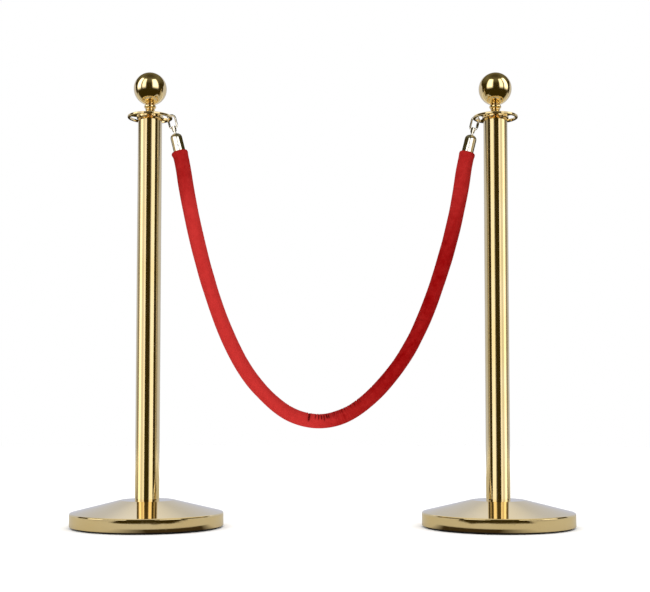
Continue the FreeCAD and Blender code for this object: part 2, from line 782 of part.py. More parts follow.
def rope():
    """Velvet sleeve from mouth to mouth, on a core that runs up into both ferrules."""
    points = [rope_point(along, height) for along, height in ROPE_ROUTE]
    edges = tangent_path(points)
    inner_radius = size["core_radius"] + size["core_gap"]
    outside = pipe(edges, size["rope_radius"])
    sleeve = outside.cut(pipe(edges, inner_radius))
    feature("velvet_sleeve", sleeve)
    length = sum(edge.Length for edge in edges)
    expected = math.pi * (size["rope_radius"] ** 2 - inner_radius ** 2) * length
    print(f"rope length {length:.1f} mm, sleeve volume {sleeve.Volume:.0f}, expected {expected:.0f}")

    reach = size["core_in_ferrule"]
    first = points[0] + (points[0] - points[1]).normalize() * reach
    last = points[-1] + (points[-1] - points[-2]).normalize() * reach
    lengthened = [Part.LineSegment(first, points[0]).toShape()] + edges
    lengthened.append(Part.LineSegment(points[-1], last).toShape())
    core = pipe(lengthened, size["core_radius"])
    for side in SIDES:
        hole = screw_hole(side, size["screw_radius"] + size["thread_gap"], size["screw_reach"])
        hole.Placement = hang_frame(side, with_hook_turn=False).multiply(hole.Placement)
        core = core.cut(hole)
    feature("rope_core", core)


# ---------------------------------------------------------------------------
# Build, check and export
# ---------------------------------------------------------------------------
for each_side in SIDES:
    post(each_side)
    rope_end(each_side)
rope()
doc.recompute()

faults = [obj.Label for obj in doc.Objects if "Invalid" in obj.State or "Error" in obj.State]
for label, obj in nodes.items():
    if obj.Shape.isNull() or not obj.Shape.isValid():
        faults.append(label + " shape")
if faults:
    raise RuntimeError("failed: " + ", ".join(faults))

for label, obj in nodes.items():
    obj.Shape.exportStep(f"parts/{label}.step")
    box = obj.Shape.BoundBox
    print(f"{label}: solids {len(obj.Shape.Solids)}, volume {obj.Shape.Volume:.0f}, "
          f"z {box.ZMin:.1f} to {box.ZMax:.1f}")
print(f"{len(nodes)} nodes")
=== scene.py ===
import json
import math

import bpy
import numpy as np
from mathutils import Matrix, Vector


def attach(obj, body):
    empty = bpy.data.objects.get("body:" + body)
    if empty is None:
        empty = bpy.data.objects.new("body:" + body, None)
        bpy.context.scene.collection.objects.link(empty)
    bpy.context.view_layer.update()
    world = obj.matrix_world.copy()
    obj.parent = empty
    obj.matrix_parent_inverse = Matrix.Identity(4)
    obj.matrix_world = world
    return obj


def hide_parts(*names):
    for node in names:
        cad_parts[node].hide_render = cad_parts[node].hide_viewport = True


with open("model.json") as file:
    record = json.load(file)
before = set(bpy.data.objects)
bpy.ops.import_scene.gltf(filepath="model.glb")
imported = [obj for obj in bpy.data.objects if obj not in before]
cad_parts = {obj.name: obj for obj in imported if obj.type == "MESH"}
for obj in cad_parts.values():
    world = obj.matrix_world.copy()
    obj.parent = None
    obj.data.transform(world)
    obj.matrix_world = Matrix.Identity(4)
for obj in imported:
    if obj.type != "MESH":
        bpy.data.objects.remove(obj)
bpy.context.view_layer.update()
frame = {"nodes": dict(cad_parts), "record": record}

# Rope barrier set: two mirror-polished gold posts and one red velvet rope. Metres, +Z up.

nodes = frame["nodes"]
SIDES = {"left": -1, "right": 1}
POST_X = 0.3685

# ---------------------------------------------------------------------------
# Camera
# ---------------------------------------------------------------------------
CAMERA_PLACE = (0.0049, -2.5, 0.25)
CAMERA_LENS = 65.62                # on a 36 mm wide sensor
CAMERA_PITCH = 3.068               # degrees above level
CAMERA_SHIFT = 0.074


def make_camera():
    data = bpy.data.cameras.new("camera")
    data.sensor_width = 36.0
    data.lens = CAMERA_LENS
    data.shift_y = CAMERA_SHIFT
    data.clip_start, data.clip_end = 0.05, 60
    camera = bpy.data.objects.new("camera", data)
    bpy.context.scene.collection.objects.link(camera)
    camera.location = CAMERA_PLACE
    camera.rotation_euler = (math.radians(90 + CAMERA_PITCH), 0, 0)
    bpy.context.scene.camera = camera


make_camera()
bpy.context.scene.view_settings.view_transform = "Standard"

# ---------------------------------------------------------------------------
# Rope's line: the route's points are the control points of a NURBS spline
# ---------------------------------------------------------------------------
LEFT_RIM = Vector((-0.324430, 0.007771, 0.871))
RIGHT_RIM = Vector((0.329361, 0.021695, 0.871))
ROPE_ROUTE = [
    (-0.3061, 0.7977), (-0.2989, 0.7686), (-0.2908, 0.7130), (-0.2712, 0.6180),
    (-0.2442, 0.5150), (-0.2085, 0.4120), (-0.1640, 0.3240), (-0.1110, 0.2640),
    (-0.0630, 0.2300), (-0.0060, 0.2182), (0.0452, 0.2305), (0.0868, 0.2568),
    (0.1305, 0.2985), (0.1792, 0.3625), (0.2195, 0.4440), (0.2525, 0.5370),
    (0.2785, 0.6280), (0.2965, 0.7150), (0.3039, 0.7686), (0.3112, 0.7977),
]


def rope_point(x, z):
    """A point in the upright plane through the two places where the hooks rest."""
    share = (x - LEFT_RIM.x) / (RIGHT_RIM.x - LEFT_RIM.x)
    return Vector((x, LEFT_RIM.y + share * (RIGHT_RIM.y - LEFT_RIM.y), z))


def rope_line():
    """Points along the rope's NURBS spline."""
    data = bpy.data.curves.new("rope_line", "CURVE")
    data.dimensions = "3D"
    data.resolution_u = 40
    spline = data.splines.new("NURBS")
    spline.points.add(len(ROPE_ROUTE) - 1)
    for point, (x, z) in zip(spline.points, ROPE_ROUTE):
        point.co = (*rope_point(x, z), 1)
    spline.order_u = 3
    spline.use_endpoint_u = True
    line = bpy.data.objects.new("rope_line", data)
    bpy.context.scene.collection.objects.link(line)
    mesh = bpy.data.meshes.new_from_object(line)
    points = np.array([v.co for v in mesh.vertices])
    bpy.data.objects.remove(line)
    bpy.data.meshes.remove(mesh)
    return points


# ---------------------------------------------------------------------------
# Velvet rope
# ---------------------------------------------------------------------------
AROUND = 96                        # points round the sleeve
FINE_STEP, GATHER_STEP, PLAIN_STEP = 0.0008, 0.0007, 0.0022    # between its rings
END_REACH, GATHER_REACH = 0.02, 0.15
LOWEST_X = 0.02                    # where the bend's middle is
HEM_ROLL = 0.0032                  # length over which each end turns in
HEM_RADIUS = 0.0129                # round the ferrule
LIP_RADIUS, LIP_DEPTH = 0.0116, 0.004
SEAM_RADIUS, SEAM_WIDTH, STITCH_SPACING = 0.016, 0.0011, 0.006
# how deep a pit must be for its painted shade to be full
DEEPEST_PIT = 0.0016

# Gathers in the bend, deepest at its bottom: where each zone ends, measured along from the
# middle, and the ranges of their angle, depth and spacing.
GATHER_ZONES = [
    (-0.002, (0.7, 1.05), (0.0014, 0.0028), (0.0045, 0.0075)),
    (0.030, (0.6, 1.1), (0.0005, 0.0011), (0.0040, 0.0070)),
    (0.076, (0.3, 0.65), (0.0007, 0.0018), (0.0050, 0.0130)),
]
HIDDEN_REACH = 0.14
FAINT_CREASES = 46

# Half the sleeve's width, and how light the velvet is painted, by share of its length: painted
# sheen where its nap lies towards the light, painted shade where it lies away.
FULLNESS = ([0, 0.06, 0.3, 0.5, 0.72, 0.94, 1],
            [0.0166, 0.0164, 0.0158, 0.0152, 0.0156, 0.0164, 0.0167])
PAINTED_SHEEN_ALONG = ([0, 0.03, 0.055, 0.09, 0.3, 0.495, 0.515, 0.55, 0.64, 0.85, 0.93, 1],
       [0.42, 0.42, 0.52, 0.90, 1.0, 0.95, 0.55, 0.34, 0.10, 0.16, 0.50, 0.50])


def smooth_noise(seed, count):
    """A smooth random function of one number, with a new value at each whole number."""
    values = np.random.default_rng(seed).uniform(-1.0, 1.0, count)

    def at(t):
        t = np.clip(t, 0, count - 1.001)
        i = t.astype(int)
        f = t - i
        f = f * f * (3 - 2 * f)
        return values[i] * (1 - f) + values[i + 1] * f
    return at


def stations(line):
    """Where the velvet has its rings: lengths along the line, closer in the gathered bend."""
    steps = np.linalg.norm(np.diff(line, axis=0), axis=1)
    along = np.concatenate([[0], np.cumsum(steps)])
    total = along[-1]
    places = [0.0]
    middle = float(np.interp(LOWEST_X, line[:, 0], along))
    while places[-1] < total:
        here = places[-1]
        near_end = min(here, total - here)
        if near_end < END_REACH:
            step = FINE_STEP
        elif abs(here - middle) < GATHER_REACH:
            step = GATHER_STEP
        else:
            step = PLAIN_STEP
        places.append(here + step)
    places[-1] = total
    return along, np.array(places), middle


def crease_list(middle, total):
    """Creases: place along the line, angle, half width along, half angle, depth, slant."""
    rng = np.random.default_rng(11)

    def crease(place, angle, width, spread, depth, slant):
        return (place, rng.uniform(*angle), rng.uniform(*width), rng.uniform(*spread),
                rng.uniform(*depth), rng.uniform(-slant, slant))

    creases = [(middle - 0.0505, 0.85, 0.0019, 0.78, 0.0032, 0.0004)]
    here = middle - 0.036
    while here < middle + GATHER_ZONES[-1][0]:
        zone = next(zone for zone in GATHER_ZONES if here < middle + zone[0])
        angle, depth, gap = zone[1:]
        creases.append(crease(here, angle, (0.0009, 0.0016), (0.35, 0.60), depth, 0.003))
        here += rng.uniform(*gap)
    here = middle - HIDDEN_REACH
    while here < middle + HIDDEN_REACH:              # the same gathers on the hidden side
        creases.append(crease(here, (-0.9, -0.1), (0.0007, 0.0013), (0.25, 0.6),
                              (0.0005, 0.0014), 0.002))
        here += rng.uniform(0.005, 0.012)
    for _ in range(FAINT_CREASES):                   # and faint ones anywhere
        place = rng.uniform(0.06, total - 0.06)
        creases.append(crease(place, (-1.2, 1.2), (0.0010, 0.0024), (0.3, 0.7),
                              (0.00015, 0.0004), 0.004))
    return creases


def sleeve_radius(s, a, places, middle):
    """The sleeve's radius, and how deep its pits are, which sets their painted shade, at each
    length s and angle a.
    """
    total = places[-1]
    fullness = np.interp(places / total, *FULLNESS)
    radius = np.repeat(fullness[:, None], AROUND, axis=1)
    lump = smooth_noise(3, 200)
    lump_front = smooth_noise(4, 200)
    lump_side = smooth_noise(5, 200)
    radius += 0.00028 * lump(s / 0.035) + 0.00026 * lump_front(s / 0.05 + 7) * np.sin(a)
    radius += 0.00030 * lump_side(s / 0.07 + 3) * np.cos(2 * a)

    # how deep the creases and the seam dip, kept for the velvet's painted shade
    pit_shade = np.zeros_like(radius)
    for place, angle, width, spread, depth, slant in crease_list(middle, total):
        along_crease = (s - place - slant * (a - angle)) / width
        window = np.exp(-((a - angle) / spread) ** 4)
        dip = depth * np.exp(-along_crease ** 2) * window
        shoulder = 0.35 * depth * np.exp(-((np.abs(along_crease) - 2.2) / 0.9) ** 2) * window
        radius += shoulder - dip
        pit_shade += dip

    # lengthwise seam at the back, and the stitches' pull along it
    seam_angle = -2.0 + 0.05 * smooth_noise(9, 60)(s / 0.06)
    seam = np.exp(-((a - seam_angle) * SEAM_RADIUS / SEAM_WIDTH) ** 2)
    pull = 0.5 + 0.5 * np.cos(s * 2 * np.pi / STITCH_SPACING)
    radius -= seam * (0.0009 + 0.0003 * pull)
    # the seam's groove gets painted shade too
    pit_shade += seam * 0.0006

    # rolled hems: the last rings turn in over the ferrules' mouths
    near = np.minimum(places, total - places)
    roll = np.clip(1 - near / HEM_ROLL, 0, 1)
    radius += 0.0006 * np.exp(-((near - 0.006) / 0.004) ** 2)[:, None]
    radius += 0.0016 * np.exp(-((s - 0.005) / 0.006) ** 2) * np.clip(-np.cos(a), 0, 1) ** 2
    turned = np.sqrt(np.clip(1 - roll ** 2, 0, 1))[:, None]
    return HEM_RADIUS + (radius - HEM_RADIUS) * turned, pit_shade


def store_sheen_and_shade(mesh, s, a, places, middle, pit_shade):
    """Store the velvet's painted sheen and shade along its length, and the pits' painted shade,
    for the velvet's material to read.
    """
    # painted light: lengths the light falls on are lighter, the others darker; random blotches and
    # streaks in the gathers are added to it
    sheen_and_nap = np.interp(places / places[-1], *PAINTED_SHEEN_ALONG)
    streaks = smooth_noise(23, 900)
    gathered = np.exp(-((s - middle - 0.022) / 0.030) ** 4)
    blotch = smooth_noise(21, 400)
    blotch_side = smooth_noise(22, 400)
    sheen_and_nap_map = sheen_and_nap[:, None] + 0.05 * blotch(s / 0.011 + 2 * np.sin(a))
    sheen_and_nap_map = sheen_and_nap_map + 0.06 * blotch_side(s / 0.03 + 3 * np.cos(a))
    sheen_and_nap_map += 0.20 * gathered * streaks(s / 0.0021)
    on_lips = np.zeros(2 * AROUND)
    for name, values in (("sheen_and_nap", sheen_and_nap_map), ("pit_shade", pit_shade / DEEPEST_PIT)):
        attribute = mesh.attributes.new(name, "FLOAT", "POINT")
        values = np.concatenate([np.clip(values, 0, 1).ravel(), on_lips])
        attribute.data.foreach_set("value", values.astype(np.float32))


def velvet_rope(line):
    """The sleeve: rings of points along the line, and a lip inside each end."""
    along, places, middle = stations(line)
    centre = np.stack([np.interp(places, along, line[:, k]) for k in range(3)], axis=1)
    ahead = np.gradient(centre, places, axis=0)
    ahead /= np.linalg.norm(ahead, axis=1)[:, None]
    level = np.array(RIGHT_RIM - LEFT_RIM)
    level /= np.linalg.norm(level)
    front = np.array([level[1], -level[0], 0.0])
    inner = np.cross(ahead, front)
    inner *= np.sign(inner[len(inner) // 2, 2])

    theta = np.linspace(0, 2 * np.pi, AROUND, endpoint=False)
    wrapped = (theta + np.pi) % (2 * np.pi) - np.pi
    s, a = np.meshgrid(places, wrapped, indexing="ij")
    radius, pit_shade = sleeve_radius(s, a, places, middle)
    points = (centre[:, None, :]
              + radius[:, :, None] * (np.cos(a)[:, :, None] * inner[:, None, :]
                                      + np.sin(a)[:, :, None] * front[None, None, :]))
    count = len(places)
    vertices = points.reshape(-1, 3)
    faces = []
    for i in range(count - 1):
        this, following = i * AROUND, (i + 1) * AROUND
        for j in range(AROUND):
            k = (j + 1) % AROUND
            faces.append((this + j, this + k, following + k, following + j))

    # close each end with a lip that turns back inside, round the core
    lips = []
    for end, way in ((0, 1), (count - 1, -1)):
        ring = (centre[end] + way * LIP_DEPTH * ahead[end]
                + LIP_RADIUS * (np.cos(wrapped)[:, None] * inner[end]
                                + np.sin(wrapped)[:, None] * front))
        first = len(vertices) + len(lips)
        lips.extend(ring)
        for j in range(AROUND):
            k = (j + 1) % AROUND
            quad = (end * AROUND + k, end * AROUND + j, first + j, first + k)
            faces.append(quad if way == 1 else quad[::-1])
    vertices = np.concatenate([vertices, np.array(lips)])
    mesh = bpy.data.meshes.new("velvet_rope")
    mesh.from_pydata(vertices.tolist(), [], faces)
    mesh.polygons.foreach_set("use_smooth", [True] * len(mesh.polygons))
    store_sheen_and_shade(mesh, s, a, places, middle, pit_shade)
    piece = bpy.data.objects.new("velvet_rope", mesh)
    bpy.context.scene.collection.objects.link(piece)
    return piece


# ---------------------------------------------------------------------------
# Materials
# ---------------------------------------------------------------------------
class Graph:
    """A material's node tree, built call by call."""

    def __init__(self, name):
        self.material = bpy.data.materials.new(name)
        self.material.use_nodes = True
        self.tree = self.material.node_tree
        self.tree.nodes.clear()
        self.output = self.tree.nodes.new("ShaderNodeOutputMaterial")
        self.place = self.add("ShaderNodeTexCoord").outputs["Object"]

    def add(self, kind, settings=None, **inputs):
        node = self.tree.nodes.new(kind)
        for key, value in (settings or {}).items():
            setattr(node, key, value)
        for key, value in inputs.items():
            self.feed(node.inputs[key.replace("_", " ")], value)
        return node

    def feed(self, socket, value):
        if isinstance(value, bpy.types.NodeSocket):
            self.tree.links.new(value, socket)
        else:
            socket.default_value = value

    def noise(self, scale, detail=3.0, rough=0.55, stretch=None):
        vector = self.place
        if stretch:
            vector = self.add("ShaderNodeMapping", Vector=vector, Scale=stretch).outputs["Vector"]
        node = self.add("ShaderNodeTexNoise", Vector=vector, Scale=scale, Detail=detail,
                        Roughness=rough)
        return node.outputs["Fac"]

    def ranged(self, value, low, high, to_low=0.0, to_high=1.0):
        node = self.add("ShaderNodeMapRange", Value=value, From_Min=low, From_Max=high,
                        To_Min=to_low, To_Max=to_high)
        return node.outputs["Result"]

    def mix(self, share, first, second):
        node = self.tree.nodes.new("ShaderNodeMix")
        node.data_type = "RGBA"
        self.feed(node.inputs[0], share)
        self.feed(node.inputs[6], first)
        self.feed(node.inputs[7], second)
        return node.outputs[2]

    def maths(self, kind, first, second=0.0):
        node = self.tree.nodes.new("ShaderNodeMath")
        node.operation = kind
        self.feed(node.inputs[0], first)
        self.feed(node.inputs[1], second)
        return node.outputs[0]

    def attribute(self, name):
        return self.add("ShaderNodeAttribute", {"attribute_name": name}).outputs["Fac"]

    def bump(self, height, strength, distance, before=None):
        node = self.add("ShaderNodeBump", Height=height, Strength=strength, Distance=distance)
        if before:
            self.tree.links.new(before, node.inputs["Normal"])
        return node.outputs["Normal"]

    def surface(self, **inputs):
        shader = self.add("ShaderNodeBsdfPrincipled", **inputs)
        self.tree.links.new(shader.outputs["BSDF"], self.output.inputs["Surface"])
        return self.material


def rgb(red, green, blue):
    return (red, green, blue, 1.0)


def polished_gold(name="polished_gold", light=(0.93, 0.745, 0.415), deep=(0.90, 0.700, 0.345),
                  wave=0.00006, gloss=0.07):
    """Mirror-polished brass plating: slow waves, faint wiping marks, tiny specks."""
    g = Graph(name)
    tone = g.ranged(g.noise(7.0, 2.0), 0.35, 0.65)
    colour = g.mix(tone, rgb(*light), rgb(*deep))
    haze = g.ranged(g.noise(22.0, 4.0, 0.6), 0.4, 0.75, gloss, gloss + 0.04)
    wiping = g.ranged(g.noise(260.0, 2.0, 0.5, stretch=(1.0, 1.0, 0.12)), 0.62, 0.8, 0.0, 0.05)
    rough = g.maths("ADD", haze, wiping)
    slow = g.bump(g.noise(9.0, 1.0, 0.4), 1.0, wave)
    fine = g.bump(g.noise(900.0, 2.0, 0.5), 0.006, 0.0002, slow)
    return g.surface(Base_Color=colour, Metallic=1.0, Roughness=rough, Normal=fine)


def velvet():
    g = Graph("red_velvet")
    sheen_and_nap = g.attribute("sheen_and_nap")
    pit_shade = g.attribute("pit_shade")
    mottle = g.ranged(g.noise(95.0, 5.0, 0.7), 0.3, 0.7, -0.14, 0.14)
    sheen_and_nap = g.maths("ADD", sheen_and_nap, mottle)
    # painted light: a shaded dark red and a lit lighter red of the same velvet, mixed by the
    # painted sheen
    colour = g.mix(sheen_and_nap, rgb(0.262, 0.0006, 0.0007), rgb(0.580, 0.034, 0.030))
    fleck = g.ranged(g.noise(1700.0, 3.0, 0.7), 0.35, 0.7, 0.0, 0.34)
    colour = g.mix(fleck, colour, rgb(0.16, 0.002, 0.004))
    # painted shade: the pits of the creases and the seam darkened towards a deep red
    colour = g.mix(g.maths("MULTIPLY", pit_shade, 0.85), colour, rgb(0.085, 0.0007, 0.0012))
    pile = g.bump(g.noise(1700.0, 3.0, 0.7), 0.8, 0.0006)
    brushed = g.bump(g.noise(120.0, 4.0, 0.65), 0.5, 0.0012, pile)
    return g.surface(Base_Color=colour, Roughness=0.92, Specular_IOR_Level=0.03, Sheen_Weight=0.06,
                     Sheen_Roughness=0.45, Sheen_Tint=rgb(1.0, 0.16, 0.13), Normal=brushed)


def rubber():
    g = Graph("black_rubber")
    dust = g.ranged(g.noise(60.0, 5.0, 0.65), 0.5, 0.8, 0.0, 0.35)
    colour = g.mix(dust, rgb(0.012, 0.012, 0.012), rgb(0.055, 0.052, 0.048))
    grain = g.bump(g.noise(1400.0, 3.0), 0.35, 0.0003)
    rough = g.ranged(g.noise(300.0, 2.0), 0.3, 0.7, 0.55, 0.8)
    return g.surface(Base_Color=colour, Roughness=rough, Normal=grain)


def concrete():
    g = Graph("concrete")
    tone = g.ranged(g.noise(35.0, 6.0, 0.65), 0.3, 0.7)
    colour = g.mix(tone, rgb(0.34, 0.33, 0.31), rgb(0.50, 0.49, 0.46))
    pores = g.ranged(g.noise(420.0, 2.0, 0.7), 0.62, 0.75)
    colour = g.mix(pores, colour, rgb(0.14, 0.14, 0.13))
    dents = g.bump(g.noise(420.0, 4.0, 0.7), 0.6, 0.0008)
    return g.surface(Base_Color=colour, Roughness=0.9, Normal=dents)


def steel(name, light, dark, rough):
    g = Graph(name)
    tone = g.ranged(g.noise(180.0, 4.0, 0.6), 0.3, 0.7)
    colour = g.mix(tone, rgb(*light), rgb(*dark))
    streak = g.ranged(g.noise(700.0, 3.0, 0.6, stretch=(1.0, 1.0, 0.1)), 0.3, 0.7,
                      rough - 0.07, rough + 0.10)
    bump = g.bump(g.noise(1500.0, 2.0), 0.12, 0.0002)
    return g.surface(Base_Color=colour, Metallic=1.0, Roughness=streak, Normal=bump)


def nylon():
    g = Graph("nylon")
    tone = g.ranged(g.noise(120.0, 3.0), 0.3, 0.7)
    colour = g.mix(tone, rgb(0.70, 0.68, 0.62), rgb(0.60, 0.58, 0.52))
    bump = g.bump(g.noise(900.0, 2.0), 0.1, 0.0002)
    return g.surface(Base_Color=colour, Roughness=0.45, Subsurface_Weight=0.05, Normal=bump)


def cotton():
    g = Graph("cotton_core")
    twist = g.noise(420.0, 2.0, 0.5, stretch=(1.0, 1.0, 0.35))
    colour = g.mix(g.ranged(twist, 0.35, 0.65), rgb(0.72, 0.67, 0.56), rgb(0.56, 0.50, 0.40))
    bump = g.bump(twist, 0.8, 0.0012)
    return g.surface(Base_Color=colour, Roughness=0.9, Sheen_Weight=0.2, Normal=bump)


MATERIALS = {
    "polished_gold": polished_gold(),
    "pale_gold": polished_gold("pale_gold", (0.95, 0.91, 0.80), (0.93, 0.88, 0.75),
                               wave=0.00002, gloss=0.035),
    "black_rubber": rubber(),
    "concrete": concrete(),
    "zinc_steel": steel("zinc_steel", (0.70, 0.70, 0.68), (0.55, 0.56, 0.56), 0.25),
    "plain_steel": steel("plain_steel", (0.42, 0.41, 0.40), (0.30, 0.29, 0.28), 0.4),
    "nylon": nylon(),
    "cotton_core": cotton(),
}


def paint_cad_nodes():
    slot_of = {part["node"]: part["material_slot"] for part in frame["record"]["subparts"]}
    for name, obj in nodes.items():
        if slot_of[name] in MATERIALS:
            obj.data.materials.clear()
            obj.data.materials.append(MATERIALS[slot_of[name]])
    spun = polished_gold("spun_gold", wave=0.00013, gloss=0.03)
    for side in SIDES:
        nodes[side + "_base_cover"].data.materials[0] = spun


paint_cad_nodes()

line_points = rope_line()
rope = velvet_rope(line_points)
rope.data.materials.append(velvet())
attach(rope, "rope")
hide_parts("velvet_sleeve")
END_PIECES = ("ferrule", "ferrule_screw", "swivel_stud", "hook", "hook_gate", "gate_pin",
              "gate_spring")
on_rope = [nodes["rope_core"]]
on_rope += [nodes[f"{side}_{piece}"] for side in SIDES for piece in END_PIECES]

# ---------------------------------------------------------------------------
# Studio: pale floor, white surround, soft panels
# ---------------------------------------------------------------------------
FLOOR_RADIUS = 6.0
FLOOR_SIDES = 96
FLOOR_FADE = (3.0, 5.6)            # from the middle, where the floor fades out
IN_MIRRORS = (0.43, 0.42, 0.385)

# What mirrors see of the floor. Each pair is where a fade begins and ends: reach from a
# post's axis, side outwards from it along X, and depth along Y.
# painted shadow: the dark floor patch round each base's contact, seen only in mirrors
CONTACT_SHADOW_COLOUR = (0.035, 0.025, 0.012)
CONTACT_REACH, CONTACT_SIDE, CONTACT_DEPTH = (0.276, 0.262), (0.12, -0.03), (-0.02, -0.09)
CLEAR_REACH, CLEAR_EDGE = (0.40, 0.62), (0.370, 0.396)
CLOSE_REACH, CLOSE_OUTER, CLOSE_INNER = (0.386, 0.394), (0.25, 0.20), (-0.32, -0.26)
FRONT_DEPTH, FAR_DEPTH = (0.55, 0.15), (1.9, 2.4)


def make_floor():
    """A pale floor. Mirrors see it darker, and only where it lies near a post's base."""
    mesh = bpy.data.meshes.new("floor")
    turn = [2 * math.pi * i / FLOOR_SIDES for i in range(FLOOR_SIDES)]
    rim = [(FLOOR_RADIUS * math.cos(t), FLOOR_RADIUS * math.sin(t), 0) for t in turn]
    mesh.from_pydata(rim, [], [tuple(range(FLOOR_SIDES))])
    floor = bpy.data.objects.new("floor", mesh)
    bpy.context.scene.collection.objects.link(floor)

    g = Graph("pale_floor")
    distance = g.tree.nodes.new("ShaderNodeVectorMath")
    distance.operation = "LENGTH"
    g.feed(distance.inputs[0], g.place)
    edge_fade = g.ranged(distance.outputs["Value"], *FLOOR_FADE)
    axes = g.add("ShaderNodeSeparateXYZ", Vector=g.place)
    depth = axes.outputs["Y"]
    beside = g.maths("SUBTRACT", g.maths("ABSOLUTE", axes.outputs["X"]), POST_X)
    reach = g.maths("SQRT", g.maths("ADD", g.maths("MULTIPLY", beside, beside),
                                    g.maths("MULTIPLY", depth, depth)))
    in_mirror = g.add("ShaderNodeLightPath").outputs["Is Glossy Ray"]

    tone = g.ranged(g.noise(3.0, 3.0), 0.3, 0.7)
    colour = g.mix(tone, rgb(0.90, 0.895, 0.885), rgb(0.925, 0.92, 0.915))
    colour = g.mix(in_mirror, colour, rgb(*IN_MIRRORS))
    # the painted contact shadow in front of each base, seen only in mirrors, that its rim mirrors
    contact_shadow = g.maths("MULTIPLY", g.ranged(reach, *CONTACT_REACH), g.ranged(beside, *CONTACT_SIDE))
    contact_shadow = g.maths("MULTIPLY", contact_shadow, g.ranged(depth, *CONTACT_DEPTH))
    colour = g.mix(g.maths("MULTIPLY", contact_shadow, in_mirror), colour, rgb(*CONTACT_SHADOW_COLOUR))

    # where mirrors look through the floor: away from the posts, and far behind them
    inward = g.maths("MULTIPLY", beside, -0.50)
    forward = g.maths("MULTIPLY", depth, -0.866)
    waver = g.ranged(g.noise(9.0, 1.0), 0.3, 0.7, -0.02, 0.02)
    edge = g.maths("ADD", g.maths("ADD", inward, forward), waver)
    away = g.maths("MAXIMUM", g.ranged(reach, *CLEAR_REACH), g.ranged(edge, *CLEAR_EDGE))
    nearby = g.maths("MULTIPLY", g.ranged(beside, *CLOSE_OUTER), g.ranged(beside, *CLOSE_INNER))
    close_ring = g.maths("MULTIPLY", g.ranged(reach, *CLOSE_REACH), nearby)
    away = g.maths("MAXIMUM", away, close_ring)
    ahead = g.maths("MULTIPLY", away, g.ranged(depth, *FRONT_DEPTH))
    hidden = g.maths("MAXIMUM", ahead, g.ranged(depth, *FAR_DEPTH))
    clearness = g.maths("MAXIMUM", edge_fade, g.maths("MULTIPLY", hidden, in_mirror))

    matt = g.add("ShaderNodeBsdfDiffuse", Color=colour, Roughness=0.3)
    clear = g.add("ShaderNodeBsdfTransparent")
    blend = g.add("ShaderNodeMixShader", Fac=clearness)
    g.tree.links.new(matt.outputs[0], blend.inputs[1])
    g.tree.links.new(clear.outputs[0], blend.inputs[2])
    g.tree.links.new(blend.outputs[0], g.output.inputs["Surface"])
    mesh.materials.append(g.material)
    return floor


def make_world():
    """White for the camera, soft white for matt surfaces, a dim studio for mirrors."""
    world = bpy.data.worlds.new("studio")
    bpy.context.scene.world = world
    world.use_nodes = True
    tree = world.node_tree
    tree.nodes.clear()
    path = tree.nodes.new("ShaderNodeLightPath")

    def background(colour, strength):
        node = tree.nodes.new("ShaderNodeBackground")
        node.inputs["Color"].default_value = colour
        node.inputs["Strength"].default_value = strength
        return node.outputs[0]

    def choose(share, first, second):
        node = tree.nodes.new("ShaderNodeMixShader")
        tree.links.new(share, node.inputs[0])
        tree.links.new(first, node.inputs[1])
        tree.links.new(second, node.inputs[2])
        return node.outputs[0]

    white = rgb(1.0, 1.0, 1.0)
    soft = background(white, 0.72)
    where = tree.nodes.new("ShaderNodeTexCoord")
    split = tree.nodes.new("ShaderNodeSeparateXYZ")
    tree.links.new(where.outputs["Generated"], split.inputs[0])
    ramp = tree.nodes.new("ShaderNodeValToRGB")
    steps = ramp.color_ramp.elements
    steps[0].position, steps[0].color = 0.42, rgb(0.034, 0.024, 0.003)
    steps[1].position, steps[1].color = 0.84, rgb(0.16, 0.15, 0.09)
    steps.new(1.0).color = rgb(0.06, 0.05, 0.025)
    tree.links.new(split.outputs["Z"], ramp.inputs[0])
    mirror = background(white, 1.0)
    tree.links.new(ramp.outputs["Color"], mirror.node.inputs["Color"])
    seen = choose(path.outputs["Is Glossy Ray"], soft, mirror)
    seen = choose(path.outputs["Is Camera Ray"], seen, background(white, 1.0))
    output = tree.nodes.new("ShaderNodeOutputWorld")
    tree.links.new(seen, output.inputs["Surface"])


def soften(data, margins):
    """Fade a panel's light towards its edges, over these shares of its width and height."""
    data.use_nodes = True
    tree = data.node_tree
    tree.nodes.clear()
    place = tree.nodes.new("ShaderNodeNewGeometry").outputs["Parametric"]
    split = tree.nodes.new("ShaderNodeSeparateXYZ")
    tree.links.new(place, split.inputs[0])
    both = tree.nodes.new("ShaderNodeMath")
    both.operation = "MULTIPLY"
    for i, margin in enumerate(margins):
        inside = tree.nodes.new("ShaderNodeMath")
        inside.operation = "PINGPONG"
        tree.links.new(split.outputs[i], inside.inputs[0])
        inside.inputs[1].default_value = 0.5
        fade = tree.nodes.new("ShaderNodeMapRange")
        fade.interpolation_type = "SMOOTHSTEP"
        tree.links.new(inside.outputs[0], fade.inputs["Value"])
        fade.inputs["From Max"].default_value = margin
        tree.links.new(fade.outputs["Result"], both.inputs[i])
    emission = tree.nodes.new("ShaderNodeEmission")
    tree.links.new(both.outputs[0], emission.inputs["Strength"])
    output = tree.nodes.new("ShaderNodeOutputLight")
    tree.links.new(emission.outputs[0], output.inputs["Surface"])


